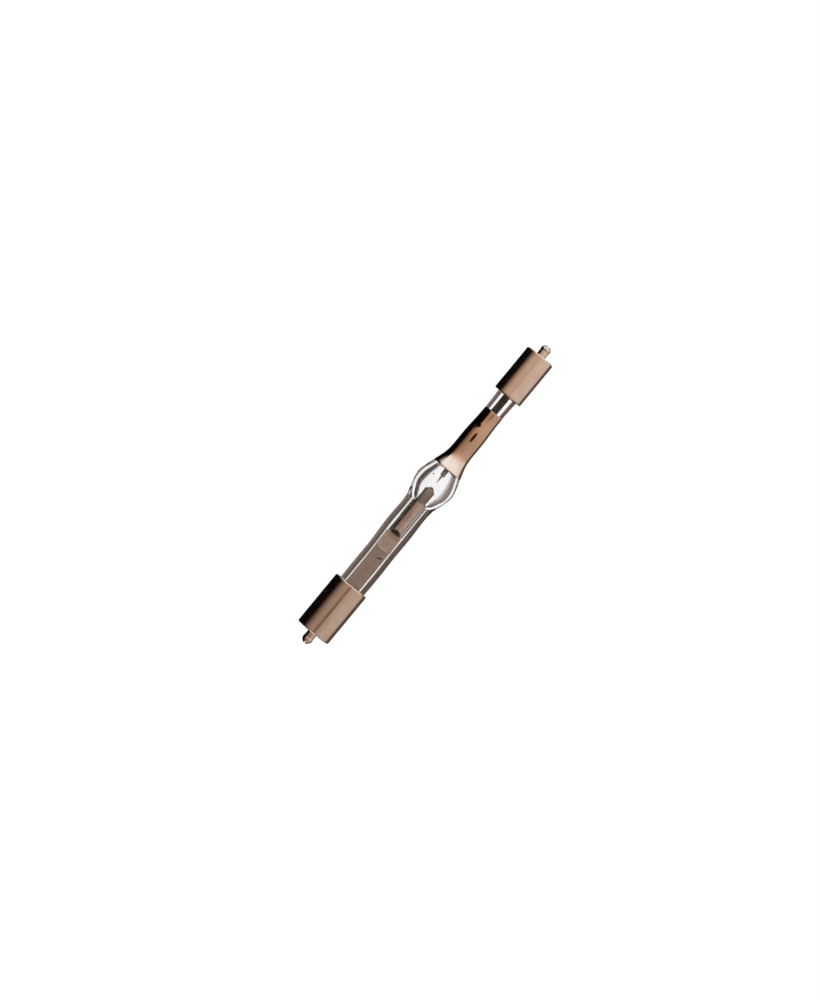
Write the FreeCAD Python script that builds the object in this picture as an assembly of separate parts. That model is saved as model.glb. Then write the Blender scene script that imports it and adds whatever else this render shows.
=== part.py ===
import FreeCAD, Part
import math
import os

# Short-arc mercury lamp with a cap at each end. Millimetres.
# +Z runs along the lamp from the anode end to the cathode end. The origin is the centre of the
# anode cap's outer face, and -Y is the side that the flat anode foil faces.

Vector = FreeCAD.Vector
X_AXIS = Vector(1, 0, 0)
Y_AXIS = Vector(0, 1, 0)
Z_AXIS = Vector(0, 0, 1)
ORIGIN = Vector(0, 0, 0)
FULL_TURN = 360
HALF_TURN = 180

# Places along the lamp
cap_face_distance = 83.7        # from the outer face of one cap to the outer face of the other
arc_height = 44.85              # middle of the arc gap above the anode cap's outer face
arc_gap = 1.17
bulb_above_arc = 0.45           # the widest place of the bulb above the middle of the arc gap

# Quartz envelope, outside
bulb_radius = 5.1
anode_stem_radius = 3.52
cathode_stem_radius = 2.62
stem_end_rounding = 0.7
stem_end_clearance = 0.8        # from a stem's end to the floor of its cap
shoulder_below_bulb = 6.1       # where the bulb meets the anode stem in a soft corner
shoulder_radius = 3.64

# Hand-drawn waves of the anode stem: distance below the bulb's widest place, change of radius
anode_stem_waves = [
    (30.5, 0.0), (25.6, 0.04), (20.4, -0.02), (17.3, 0.06), (14.3, 0.15), (11.3, 0.09), (8.6, 0.0)
]
# Flanks of the bulb: distance from the widest place, and how far the radius has dropped there
bulb_anode_flank = [(3.7, 0.71), (1.8, 0.2)]
bulb_cathode_flank = [(1.9, 0.44), (3.8, 1.05), (5.7, 1.68), (7.6, 2.19), (10.3, 2.39), (14.6, 2.4)]
# Drawn-in cathode stem: distance above the bulb's widest place, change of radius
cathode_stem_waves = [(17.8, -0.1), (22.5, -0.14), (25.8, -0.02)]

# Quartz envelope, arc chamber: distances are from the bulb's widest place, as above
chamber_radius = 3.37
chamber_widest_below_bulb = 0.9
chamber_anode_flank = [(5.3, 1.5), (3.8, 0.735), (2.6, 0.235)]
chamber_cathode_flank = [(0.9, 0.27), (2.2, 0.66), (3.65, 1.125), (5.0, 1.77), (6.0, 2.59)]
chamber_start_below_bulb = 5.9
chamber_end_above_bulb = 6.3
bore_clearance = 0.14           # around the anode in the neck of the chamber
bore_foot_clearance = 0.03      # between the anode's rear face and the foot of its bore
bore_foot_rounding = 0.12
seal_gap = 0.02                 # hairline between the quartz and the metal sealed into it

# Anode
anode_radius = 1.33
anode_length = 14.3
anode_tip_radius = 0.28
anode_cone_height = 1.05
anode_rear_bevel = 0.12
rear_flat_height = 1.05         # slanting flat ground on the front of the anode's rear end
rear_flat_depth = 0.8           # how deep it is at the rear face
anode_shank_radius = 0.5
anode_shank_depth = 4.2         # how far the shank is pressed into the anode
anode_shank_length = 3.75       # how far it stands out behind

# Cathode
cathode_rod_radius = 0.4
cathode_length = 13.1
cathode_tip_radius = 0.05
cathode_cone_height = 2.3
coil_wire_radius = 0.12
coil_start_above_tip = 1.85
coil_turns = 12
coil_turn_spacing = 0.265
coil_clearance = 0.01           # between the wire and the rod it is wound on

# Sealing foils, leads and the anode foil's backing plate
foil_thickness = 0.04
foil_corner_radius = 0.45
weld_overlap = 2.5              # how far a foil lies along the rod that it is welded to
anode_foil_width = 2.95
anode_foil_start = 5.0          # above the anode cap's outer face
anode_lead_radius = 0.5
cathode_foil_width = 1.8
cathode_foil_end = 12.0         # below the cathode cap's outer face
cathode_foil_turn = 42          # degrees about the lamp's axis from facing -Y
cathode_foil_aside = 0.38       # from the line where it is welded to its rods to its middle
cathode_lead_radius = 0.4
plate_width = 3.1
plate_height = 4.4
plate_thickness = 0.2
plate_below_anode = 0.12        # from the anode's rear face to the plate's upper edge
plate_edge_sag = 0.28           # how far the middle of the lower edge hangs below its corners

# Caps, each turned in one piece with its tubular terminal
anode_cap_length = 14.25
anode_cap_wall = 0.68
cathode_cap_length = 12.2
cathode_cap_wall = 0.83
cap_floor = 1.6
cap_bevel = 0.2
cap_mouth_bevel = 0.12
cement_thickness = 0.3          # between a stem and the bore of its cap
cement_recess = 0.35            # below the cap's mouth
terminal_bore_clearance = 0.05  # round the lead
anode_terminal_length = 1.65
anode_terminal_wall = 0.65
cathode_terminal_length = 1.9
cathode_terminal_wall = 0.7

# Solder bead that closes each terminal
bead_bulge = 0.1                # how far it swells past the terminal tube
bead_overlap = 0.28             # along the outside of the tube
lead_in_bead = 0.5
anode_bead_height = 1.61        # beyond the end of the tube
cathode_bead_height = 1.15
bead_flank = (0.72, 0.68)       # place on its side, as shares of its widest radius and its height

# Droplets of mercury on the chamber wall: radius, height from the bulb's widest place, angle about Z
mercury_drops = [(0.2, 1.2, 232), (0.13, -1.7, 318), (0.16, -3.6, 330)]
drop_clearance = 0.01

# Heat-reflecting metal film on the cathode side
film_thickness = 0.06
film_start_above_bulb = 4.1
film_length = 17.2

# Heights and radii that follow from the sizes above
bulb_height = arc_height + bulb_above_arc
anode_tip_height = arc_height - arc_gap / 2
anode_rear_height = anode_tip_height - anode_length
shank_rear_height = anode_rear_height - anode_shank_length
bore_foot_height = anode_rear_height - bore_foot_clearance
cathode_tip_height = arc_height + arc_gap / 2
cathode_rear_height = cathode_tip_height + cathode_length
bore_radius = anode_radius + bore_clearance
anode_stem_end = cap_floor + stem_end_clearance
cathode_stem_end = cap_face_distance - cap_floor - stem_end_clearance
anode_foil_end = shank_rear_height + weld_overlap
anode_lead_end = anode_foil_start + weld_overlap
cathode_foil_low = cathode_rear_height - weld_overlap
cathode_foil_high = cap_face_distance - cathode_foil_end
cathode_lead_low = cathode_foil_high - weld_overlap
plate_top = anode_rear_height - plate_below_anode
plate_bottom = plate_top - plate_height
foil_corner_limit = 0.9         # largest corner radius, as a share of half a foil's width
thin_edge = foil_thickness / 2  # edges that cross a foil are longer than this across Y
anode_terminal_radius = anode_lead_radius + terminal_bore_clearance + anode_terminal_wall
cathode_terminal_radius = cathode_lead_radius + terminal_bore_clearance + cathode_terminal_wall


def point(radius, height):
    """A point of an outline in the XZ half-plane that is turned about Z."""
    return Vector(radius, 0, height)


def spline(points, start_tangent=None, end_tangent=None):
    """A smooth curve through points, with its end directions where they are given."""
    curve = Part.BSplineCurve()
    if start_tangent and end_tangent:
        curve.interpolate(Points=points, InitialTangent=start_tangent, FinalTangent=end_tangent)
    else:
        curve.interpolate(points)
    return curve.toShape()


def segments(points):
    """Straight edges from point to point."""
    return [Part.makeLine(a, b) for a, b in zip(points, points[1:])]


def arc(start, middle, end):
    """A circular edge through three points."""
    return Part.Arc(start, middle, end).toShape()


def quarter_arc(start, corner, end):
    """The rounding of a right-angled corner, from start to end."""
    centre = start + end - corner
    middle = centre + (corner - centre) * (1 / math.sqrt(2))
    return arc(start, middle, end)


def turned(edges):
    """The solid that a closed outline sweeps about Z."""
    outline = Part.Wire(Part.__sortEdges__(edges))
    solid = Part.Face(outline).revolve(ORIGIN, Z_AXIS, FULL_TURN)
    if solid.Volume < 0:
        solid.reverse()
    return solid


def turned_polygon(corners):
    """The solid that a closed outline of straight edges sweeps about Z."""
    return turned(segments(corners + corners[:1]))


def rod(radius, low, high):
    """A round bar on the lamp's axis."""
    return Part.makeCylinder(radius, high - low, point(0, low))


def flipped_to_cathode_end(shape):
    """Moves what was made at the anode cap, with its outer face at zero, to the cathode cap."""
    shape.rotate(ORIGIN, X_AXIS, HALF_TURN)
    shape.translate(Z_AXIS * cap_face_distance)
    return shape


def stem_end_edges(stem_radius, end_height, inward):
    """The flat end of a stem and its rounding, and the point where its side begins.

    inward is 1 where the stem lies above its end, and -1 where it lies below.
    """
    rim = stem_radius - stem_end_rounding
    corner = point(stem_radius, end_height)
    flat_end = point(rim, end_height)
    side = point(stem_radius, end_height + inward * stem_end_rounding)
    return [Part.makeLine(point(0, end_height), flat_end), quarter_arc(flat_end, corner, side)], side


def outside_stations(skin):
    """Points of the envelope's outline: anode stem, bulb and cathode stem, each grown by skin."""
    shoulder = point(shoulder_radius + skin, bulb_height - shoulder_below_bulb)
    anode_side = [
        point(anode_stem_radius + change + skin, bulb_height - below)
        for below, change in anode_stem_waves
    ] + [shoulder]
    bulb = [shoulder]
    bulb += [point(bulb_radius - drop + skin, bulb_height - below) for below, drop in bulb_anode_flank]
    bulb += [point(bulb_radius + skin, bulb_height)]
    bulb += [point(bulb_radius - drop + skin, bulb_height + above) for above, drop in bulb_cathode_flank]
    cathode_side = [
        point(cathode_stem_radius + change + skin, bulb_height + above)
        for above, change in cathode_stem_waves
    ]
    return anode_side, bulb + cathode_side


def envelope_outside(skin=0.0):
    """The envelope as a full body, with its outline grown outwards by skin."""
    anode_side, cathode_side = outside_stations(skin)
    low_edges, low_side = stem_end_edges(anode_stem_radius + skin, anode_stem_end, 1)
    high_edges, high_side = stem_end_edges(cathode_stem_radius + skin, cathode_stem_end, -1)
    edges = low_edges
    edges += segments([low_side, anode_side[0]])
    edges += [spline(anode_side), spline(cathode_side)]
    edges += segments([cathode_side[-1], high_side])
    edges += high_edges
    edges += segments([point(0, cathode_stem_end), point(0, anode_stem_end)])
    return turned(edges)


def chamber_wall_curve():
    """The smooth wall of the arc chamber, from the anode's bore to the cathode's."""
    stations = [point(bore_radius, bulb_height - chamber_start_below_bulb)]
    stations += [point(chamber_radius - drop, bulb_height - below) for below, drop in chamber_anode_flank]
    stations += [point(chamber_radius, bulb_height - chamber_widest_below_bulb)]
    stations += [point(chamber_radius - drop, bulb_height + above) for above, drop in chamber_cathode_flank]
    stations += [point(cathode_rod_radius + seal_gap, bulb_height + chamber_end_above_bulb)]
    return spline(stations), stations


def central_cavity():
    """The arc chamber with the anode's bore, and the close passages of both electrodes' rods."""
    wall, stations = chamber_wall_curve()
    shank_passage = anode_shank_radius + seal_gap
    bore_flat = point(bore_radius - bore_foot_rounding, bore_foot_height)
    bore_corner = point(bore_radius, bore_foot_height)
    bore_side = point(bore_radius, bore_foot_height + bore_foot_rounding)
    rear = shank_rear_height - seal_gap
    front = cathode_rear_height + seal_gap
    passage = cathode_rod_radius + seal_gap
    edges = segments([
        point(0, front),
        point(0, rear),
        point(shank_passage, rear),
        point(shank_passage, bore_foot_height),
        bore_flat,
    ])
    edges += [quarter_arc(bore_flat, bore_corner, bore_side)]
    edges += segments([bore_side, stations[0]])
    edges += [wall]
    edges += segments([stations[-1], point(passage, front), point(0, front)])
    return turned(edges)


def flat_plate(width, low, high, near, far, corner=0.0, sag=0.0):
    """A thin upright plate that faces -Y, between the distances near and far from the axis.

    corner rounds its four corners, and sag curves its lower edge downwards instead.
    """
    side = width / 2
    outline = [point(-side, low), point(side, low), point(side, high), point(-side, high)]
    if sag:
        edges = [arc(outline[0], point(0, low - sag), outline[1])]
        edges += segments(outline[1:] + outline[:1])
    else:
        edges = segments(outline + outline[:1])
    face = Part.Face(Part.Wire(edges))
    plate = face.extrude(Y_AXIS * (near - far))
    plate.translate(Y_AXIS * -near)
    if corner:
        through = [edge for edge in plate.Edges if edge.BoundBox.YLength > thin_edge]
        plate = plate.makeFillet(min(corner, side * foil_corner_limit), through)
    return plate


def anode_foil_shape(grow=0.0):
    """The anode's sealing foil, welded to the front of its shank and of its lead."""
    near = anode_shank_radius
    return flat_plate(
        anode_foil_width + 2 * grow,
        anode_foil_start - grow,
        anode_foil_end + grow,
        near - grow,
        near + foil_thickness + grow,
        foil_corner_radius,
    )


def foil_plate_shape(grow=0.0):
    """The stiff plate in front of the foil's upper end, which backs its weld to the shank."""
    near = anode_shank_radius + foil_thickness
    return flat_plate(
        plate_width + 2 * grow,
        plate_bottom - grow,
        plate_top + grow,
        near - grow,
        near + plate_thickness + grow,
        sag=plate_edge_sag,
    )


def cathode_foil_shape(grow=0.0):
    """The cathode's sealing foil, turned about the lamp's axis."""
    near = cathode_rod_radius
    foil = flat_plate(
        cathode_foil_width + 2 * grow,
        cathode_foil_low - grow,
        cathode_foil_high + grow,
        near - grow,
        near + foil_thickness + grow,
        foil_corner_radius,
    )
    foil.translate(X_AXIS * cathode_foil_aside)
    foil.rotate(ORIGIN, Z_AXIS, -cathode_foil_turn)
    return foil


def anode_lead_shape(grow=0.0):
    """The outer lead from the anode foil through the terminal tube into the solder bead."""
    low = -anode_terminal_length - lead_in_bead
    return rod(anode_lead_radius + grow, low - grow, anode_lead_end + grow)


def cathode_lead_shape(grow=0.0):
    """The outer lead from the cathode foil through the terminal tube into the solder bead."""
    high = cap_face_distance + cathode_terminal_length + lead_in_bead
    return rod(cathode_lead_radius + grow, cathode_lead_low - grow, high + grow)


def quartz_envelope():
    """One blown quartz body with its arc chamber and the spaces of the metal sealed into it."""
    sealed_in = [
        central_cavity(),
        anode_foil_shape(seal_gap),
        foil_plate_shape(seal_gap),
        anode_lead_shape(seal_gap),
        cathode_foil_shape(seal_gap),
        cathode_lead_shape(seal_gap),
    ]
    return envelope_outside().cut(sealed_in)


def heat_film():
    """The metal film on the outside of the bulb's cathode side and of its stem."""
    band = rod(bulb_radius + film_thickness, 0, film_length)
    band.translate(Z_AXIS * (bulb_height + film_start_above_bulb))
    return envelope_outside(film_thickness).common(band).cut(envelope_outside())


def anode_shank():
    """The rod pressed into the anode's rear."""
    return rod(anode_shank_radius, shank_rear_height, anode_rear_height + anode_shank_depth)


def rear_flat_waste():
    """What is ground off the front of the anode's rear end, as a wedge across it."""
    rear = Vector(-anode_radius, rear_flat_depth - anode_radius, anode_rear_height)
    front = Vector(-anode_radius, -anode_radius, anode_rear_height)
    top = front + Z_AXIS * rear_flat_height
    wedge = Part.Face(Part.makePolygon([rear, front, top, rear]))
    return wedge.extrude(X_AXIS * (2 * anode_radius))


def anode():
    """The heavy turned anode, with a blunt cone at the arc and a bore for its shank."""
    body = turned_polygon([
        point(0, anode_rear_height),
        point(anode_radius - anode_rear_bevel, anode_rear_height),
        point(anode_radius, anode_rear_height + anode_rear_bevel),
        point(anode_radius, anode_tip_height - anode_cone_height),
        point(anode_tip_radius, anode_tip_height),
        point(0, anode_tip_height),
    ])
    return body.cut([anode_shank(), rear_flat_waste()])


def cathode():
    """The cathode's rod with its long fine point."""
    return turned_polygon([
        point(0, cathode_tip_height),
        point(cathode_tip_radius, cathode_tip_height),
        point(cathode_rod_radius, cathode_tip_height + cathode_cone_height),
        point(cathode_rod_radius, cathode_rear_height),
        point(0, cathode_rear_height),
    ])


def cathode_coil():
    """The wire wound round the cathode behind its point, as one helix."""
    helix_radius = cathode_rod_radius + coil_clearance + coil_wire_radius
    height = coil_turns * coil_turn_spacing
    helix = Part.makeHelix(coil_turn_spacing, height, helix_radius)
    section = Part.Wire(Part.makeCircle(coil_wire_radius, Vector(helix_radius, 0, 0), Y_AXIS))
    coil = Part.Wire(helix).makePipeShell([section], True, True)
    coil.translate(Z_AXIS * (cathode_tip_height + coil_start_above_tip))
    return coil


def cap(stem_radius, wall, length, terminal_radius, terminal_length, lead_radius):
    """A turned cap with its tubular terminal, with its outer face at zero and its mouth at length."""
    bore = stem_radius + cement_thickness
    outer = bore + wall
    terminal_bore = lead_radius + terminal_bore_clearance
    return turned_polygon([
        point(terminal_bore, -terminal_length),
        point(terminal_radius, -terminal_length),
        point(terminal_radius, 0),
        point(outer - cap_bevel, 0),
        point(outer, cap_bevel),
        point(outer, length - cap_bevel),
        point(outer - cap_bevel, length),
        point(bore + cap_mouth_bevel, length),
        point(bore, length - cap_mouth_bevel),
        point(bore, cap_floor),
        point(terminal_bore, cap_floor),
    ])


def anode_cap():
    """The larger cap, round the anode's stem."""
    return cap(
        anode_stem_radius,
        anode_cap_wall,
        anode_cap_length,
        anode_terminal_radius,
        anode_terminal_length,
        anode_lead_radius,
    )


def cathode_cap():
    """The smaller cap, round the cathode's stem."""
    return flipped_to_cathode_end(cap(
        cathode_stem_radius,
        cathode_cap_wall,
        cathode_cap_length,
        cathode_terminal_radius,
        cathode_terminal_length,
        cathode_lead_radius,
    ))


def anode_cement():
    """The cement that fills the anode cap between its bore, its floor and the stem."""
    fill = rod(anode_stem_radius + cement_thickness, cap_floor, anode_cap_length - cement_recess)
    return fill.cut([envelope_outside(), anode_lead_shape()])


def cathode_cement():
    """The cement that fills the cathode cap between its bore, its floor and the stem."""
    low = cap_face_distance - cathode_cap_length + cement_recess
    fill = rod(cathode_stem_radius + cement_thickness, low, cap_face_distance - cap_floor)
    return fill.cut([envelope_outside(), cathode_lead_shape()])


def bead(terminal_radius, terminal_length, height, lead_radius):
    """The solder bead over the end of a terminal tube, below a cap whose outer face is at zero."""
    tube_end = -terminal_length
    widest = terminal_radius + bead_bulge
    flank_radius, flank_height = bead_flank
    stations = [
        point(terminal_radius, tube_end + bead_overlap),
        point(widest, tube_end - bead_bulge),
        point(widest * flank_radius, tube_end - height * flank_height),
        point(0, tube_end - height),
    ]
    skin = spline(stations, Vector(1, 0, -1), Vector(-1, 0, 0))
    edges = [skin] + segments([stations[-1], point(0, stations[0].z), stations[0]])
    tube = rod(terminal_radius, tube_end, 0)
    lead = rod(lead_radius, tube_end - lead_in_bead, 0)
    return turned(edges).cut([tube, lead])


def anode_bead():
    """The bead on the anode cap's terminal."""
    return bead(anode_terminal_radius, anode_terminal_length, anode_bead_height, anode_lead_radius)


def cathode_bead():
    """The bead on the cathode cap's terminal."""
    return flipped_to_cathode_end(
        bead(cathode_terminal_radius, cathode_terminal_length, cathode_bead_height, cathode_lead_radius)
    )


def mercury_drop(radius, height, angle):
    """A round droplet that touches the chamber wall at a height from the bulb's widest place."""
    wall, _ = chamber_wall_curve()
    reach = Part.makeLine(point(0, bulb_height + height), point(bulb_radius, bulb_height + height))
    foot = wall.distToShape(reach)[1][0][0]
    tangent = wall.tangentAt(wall.Curve.parameter(foot))
    inwards = Vector(-tangent.z, 0, tangent.x)
    centre = foot + inwards * (radius + drop_clearance)
    drop = Part.makeSphere(radius, centre)
    drop.rotate(ORIGIN, Z_AXIS, angle)
    return drop


os.makedirs("parts", exist_ok=True)

nodes = {
    "quartz_envelope": quartz_envelope(),
    "heat_film": heat_film(),
    "anode": anode(),
    "anode_shank": anode_shank(),
    "anode_foil": anode_foil_shape(),
    "anode_foil_plate": foil_plate_shape(),
    "anode_lead": anode_lead_shape(),
    "anode_cement": anode_cement(),
    "anode_cap": anode_cap(),
    "anode_bead": anode_bead(),
    "cathode": cathode(),
    "cathode_coil": cathode_coil(),
    "cathode_foil": cathode_foil_shape(),
    "cathode_lead": cathode_lead_shape(),
    "cathode_cement": cathode_cement(),
    "cathode_cap": cathode_cap(),
    "cathode_bead": cathode_bead(),
}
for number, (drop_radius, drop_height, drop_angle) in enumerate(mercury_drops, start=1):
    nodes[f"mercury_drop_{number}"] = mercury_drop(drop_radius, drop_height, drop_angle)

for name, shape in nodes.items():
    print(
        f"{name}: {len(shape.Solids)} solid, valid {shape.isValid()}, {shape.Volume:.3f} mm3, "
        f"z {shape.BoundBox.ZMin:.2f} to {shape.BoundBox.ZMax:.2f}"
    )
    shape.exportStep(f"parts/{name}.step")
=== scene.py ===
"""Short-arc mercury lamp: its pieces, their finishes, the studio round them and the camera.

Sizes are in millimetres, as on the lamp itself, and each mesh becomes metres when it is finished.
+Z runs along the lamp from the anode end to the cathode end, and -Y faces the camera.
"""
from __future__ import annotations

import logging
import math
from collections.abc import Sequence
from dataclasses import dataclass
from enum import Enum

import bmesh
import bpy
import numpy as np
from mathutils import Matrix, Vector

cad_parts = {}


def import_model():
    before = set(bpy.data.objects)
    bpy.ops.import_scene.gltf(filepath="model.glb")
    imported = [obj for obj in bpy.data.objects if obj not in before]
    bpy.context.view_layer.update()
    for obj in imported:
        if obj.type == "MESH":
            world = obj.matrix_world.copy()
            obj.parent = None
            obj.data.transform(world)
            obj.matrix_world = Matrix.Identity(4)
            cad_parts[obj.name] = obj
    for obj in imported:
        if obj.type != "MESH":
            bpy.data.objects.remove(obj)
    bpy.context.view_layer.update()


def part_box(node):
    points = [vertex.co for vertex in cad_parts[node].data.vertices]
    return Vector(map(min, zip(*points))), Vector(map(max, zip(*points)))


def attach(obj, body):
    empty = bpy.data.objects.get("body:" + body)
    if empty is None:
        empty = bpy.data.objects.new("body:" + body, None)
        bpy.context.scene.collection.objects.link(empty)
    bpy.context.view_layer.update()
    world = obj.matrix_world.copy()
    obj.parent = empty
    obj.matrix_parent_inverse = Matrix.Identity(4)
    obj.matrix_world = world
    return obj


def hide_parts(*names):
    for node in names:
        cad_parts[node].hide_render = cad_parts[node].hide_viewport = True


LOG = logging.getLogger("mercury_arc_lamp")

MM = 0.001
ORIGIN = (0.0, 0.0, 0.0)
AXIS = (0.0, 0.0, 1.0)
TURN_STEPS = 192
ROD_STEPS = 64
MERGE_DISTANCE = 0.0001
SHARP_ANGLE = math.radians(32)
BODY = "root"

Point = tuple[float, float]
Outline = list[Point]
Place = tuple[float, float, float]
Colour = tuple[float, float, float]
Shape = bmesh.types.BMesh
Socket = bpy.types.NodeSocket
Look = bpy.types.Material

# What lies only on the front or the rear of the lamp fades out this near its middle plane
SIDE_FADE = 0.1


class LampEnd(Enum):
    """The two ends of the lamp, by the electrode that each one feeds."""

    ANODE = "anode"
    CATHODE = "cathode"


class Grain(Enum):
    """The direction of the fine lines that making a metal piece left on it."""

    TURNED = "turned"
    DRAWN = "drawn"
    ROLLED = "rolled"
    POURED = "poured"


@dataclass(frozen=True)
class NodeBox:
    """The box of one node of the frame, in millimetres."""

    low: Vector
    high: Vector

    @classmethod
    def of(cls, node: str) -> NodeBox:
        """Reads a node's box from the frame.

        Args:
            node: the node's name.

        Returns:
            Its box.
        """
        low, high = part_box(node)
        return cls(Vector(low) / MM, Vector(high) / MM)

    @property
    def radius(self) -> float:
        """Half of the width across X."""
        return (self.high.x - self.low.x) / 2


def soft_step(share: float) -> float:
    """A smooth rise from 0 to 1 while share goes from 0 to 1."""
    held = min(max(share, 0.0), 1.0)
    return held * held * (3 - 2 * held)


@dataclass(frozen=True)
class Lean:
    """A slight set to one side, as hand-blowing left it, between two places on the lamp."""

    aside: float
    begins: float
    full: float
    eases: float
    gone: float

    def at(self, height: float) -> float:
        """The shift along X at a height.

        Args:
            height: the height.

        Returns:
            The shift.
        """
        rise = soft_step((height - self.begins) / (self.full - self.begins))
        fall = soft_step((height - self.eases) / (self.gone - self.eases))
        return self.aside * rise * (1 - fall)

    def apply(self, shape: Shape, reach: float = math.inf) -> None:
        """Shifts a mesh.

        Args:
            shape: the mesh.
            reach: the distance from the axis beyond which nothing moves.
        """
        for vert in shape.verts:
            if math.hypot(vert.co.x, vert.co.y) < reach:
                vert.co.x += self.at(vert.co.z)


STEM_LEAN = Lean(aside=0.25, begins=9.0, full=15.0, eases=20.0, gone=36.0)
CHAMBER_LEAN = Lean(aside=0.15, begins=20.0, full=26.0, eases=43.5, gone=52.0)


def smooth_curve(stations: Sequence[Point], spacing: float) -> Outline:
    """A curve of continuous bend through stations, straight at its two ends.

    Args:
        stations: points that the curve goes through, as radius and height.
        spacing: the distance between the points of the result.

    Returns:
        Points along the curve, the first and last stations included.
    """
    fixed = np.array(stations)
    steps = np.linalg.norm(np.diff(fixed, axis=0), axis=1)
    system = np.eye(len(fixed))
    pull = np.zeros_like(fixed)
    for i in range(1, len(fixed) - 1):
        system[i, i - 1 : i + 2] = steps[i - 1], 2 * (steps[i - 1] + steps[i]), steps[i]
        rise = (fixed[i + 1] - fixed[i]) / steps[i] - (fixed[i] - fixed[i - 1]) / steps[i - 1]
        pull[i] = 6 * rise
    bend = np.linalg.solve(system, pull)
    curve = [fixed[0]]
    for i, length in enumerate(steps):
        pieces = max(2, math.ceil(length / spacing))
        for share in np.linspace(0, 1, pieces + 1)[1:]:
            rest = 1 - share
            sag = (rest**3 - rest) * bend[i] + (share**3 - share) * bend[i + 1]
            curve.append(rest * fixed[i] + share * fixed[i + 1] + sag * length**2 / 6)
    return [(float(radius), float(height)) for radius, height in curve]


def quarter_round(start: Point, end: Point, steps: int = 8) -> Outline:
    """A quarter of an ellipse that leaves start along the radius and reaches end along the height.

    Args:
        start: where it begins.
        end: where it ends.
        steps: how many straight runs it has.

    Returns:
        Its points, both ends included.
    """
    angles = [math.pi / 2 * i / steps for i in range(steps + 1)]
    return [
        (
            start[0] + (end[0] - start[0]) * math.sin(angle),
            start[1] + (end[1] - start[1]) * (1 - math.cos(angle)),
        )
        for angle in angles
    ]


def turned(outline: Outline, closed: bool = False, steps: int = TURN_STEPS) -> Shape:
    """The surface that an outline sweeps about the lamp's axis, facing outwards.

    Args:
        outline: points as radius and height.
        closed: whether the last point joins the first.
        steps: how many facets go round.

    Returns:
        The mesh.
    """
    shape = bmesh.new()
    verts = [shape.verts.new((radius, 0.0, height)) for radius, height in outline]
    pairs = list(zip(verts, verts[1:]))
    if closed:
        pairs.append((verts[-1], verts[0]))
    edges = [shape.edges.new(pair) for pair in pairs]
    bmesh.ops.spin(
        shape,
        geom=verts + edges,
        cent=ORIGIN,
        axis=AXIS,
        dvec=ORIGIN,
        angle=math.tau,
        steps=steps,
        use_merge=True,
        use_duplicate=False,
    )
    bmesh.ops.remove_doubles(shape, verts=shape.verts[:], dist=MERGE_DISTANCE)
    bmesh.ops.recalc_face_normals(shape, faces=shape.faces[:])
    return shape


def soften(shape: Shape, width: float, segments: int = 3) -> None:
    """Rounds each edge that turns sharply.

    Args:
        shape: the mesh.
        width: how wide the rounding is.
        segments: how many facets it has.
    """
    sharp = [e for e in shape.edges if e.is_manifold and e.calc_face_angle(0.0) > SHARP_ANGLE]
    bmesh.ops.bevel(
        shape,
        geom=sharp,
        offset=width,
        offset_type="OFFSET",
        segments=segments,
        profile=0.5,
        affect="EDGES",
        clamp_overlap=True,
        material=-1,
    )


def everything(shape: Shape) -> list[object]:
    """The vertices, edges and faces of a mesh."""
    return shape.verts[:] + shape.edges[:] + shape.faces[:]


def close_holes(shape: Shape) -> None:
    """Fills each hole of a mesh and turns its faces outwards."""
    bmesh.ops.holes_fill(shape, edges=[edge for edge in shape.edges if edge.is_boundary], sides=0)
    bmesh.ops.recalc_face_normals(shape, faces=shape.faces[:])


def plain_rod(box: NodeBox, rounding: float) -> Shape:
    """A round rod that fills a node's box.

    Args:
        box: the node's box.
        rounding: how wide the rounding of its edges is.

    Returns:
        The mesh.
    """
    ends = [(0.0, box.low.z), (box.radius, box.low.z), (box.radius, box.high.z), (0.0, box.high.z)]
    shape = turned(ends, steps=ROD_STEPS)
    soften(shape, rounding)
    return shape


def mesh_object(shape: Shape, name: str, look: Look) -> bpy.types.Object:
    """Makes an object of a mesh in millimetres, with its place in the mesh.

    Args:
        shape: the mesh, which is freed.
        name: the object's name.
        look: its material.

    Returns:
        The object, in metres.
    """
    bmesh.ops.scale(shape, vec=(MM, MM, MM), verts=shape.verts[:])
    mesh = bpy.data.meshes.new(name)
    shape.to_mesh(mesh)
    shape.free()
    mesh.shade_smooth()
    mesh.set_sharp_from_angle(angle=SHARP_ANGLE)
    mesh.materials.append(look)
    made = bpy.data.objects.new(name, mesh)
    bpy.context.scene.collection.objects.link(made)
    return made


def add_piece(shape: Shape, name: str, look: Look, node: str) -> bpy.types.Object:
    """Makes a piece of the lamp that stands for a node of the frame.

    Args:
        shape: the mesh in millimetres.
        name: the piece's name.
        look: its material.
        node: the node that it replaces.

    Returns:
        The piece.
    """
    piece = mesh_object(shape, name, look)
    shading = piece.modifiers.new("even_shading", "WEIGHTED_NORMAL")
    shading.keep_sharp = True
    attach(piece, BODY)
    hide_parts(node)
    LOG.info("%s: %d faces", name, len(piece.data.polygons))
    return piece


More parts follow.
